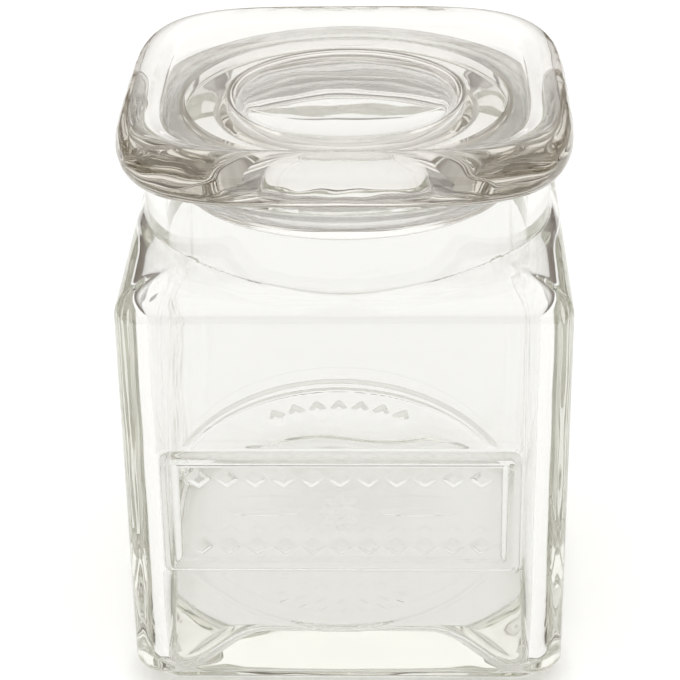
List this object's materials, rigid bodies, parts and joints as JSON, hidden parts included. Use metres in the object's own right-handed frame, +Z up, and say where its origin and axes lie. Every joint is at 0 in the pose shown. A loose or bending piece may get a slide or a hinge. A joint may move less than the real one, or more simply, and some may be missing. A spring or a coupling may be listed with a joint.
{
  "type": "storage jar",
  "caption": "Square clear-glass storage jar with a heavy lift-off glass lid on a finned sealing ring and a raised framed panel on the front.",
  "frame": {"origin": "middle of the foot, on the surface the jar stands on", "axes": "+Z up along the jar's axis; the front with the raised panel faces -Y"},
  "size_m": [0.0962, 0.0962, 0.1271],
  "materials": {
    "jar_glass": "clear pressed soda-lime glass, fire-polished",
    "lid_glass": "clear pressed soda-lime glass, fire-polished, thicker",
    "seal_silicone": "translucent milky silicone"
  },
  "bodies": {
    "jar": {"jar_body": "jar_glass"},
    "seal": {"seal_ring": "seal_silicone"},
    "lid": {"lid": "lid_glass"}
  },
  "joints": [
    {"name": "lid_lift", "type": "slide", "parent": "jar", "child": "seal", "axis": [0, 0, 1], "range_m": [0, 0.04]},
    {"name": "lid_turn", "type": "hinge", "parent": "seal", "child": "lid", "pos_m": [0, 0, 0.11], "axis": [0, 0, 1], "continuous": true}
  ]
}
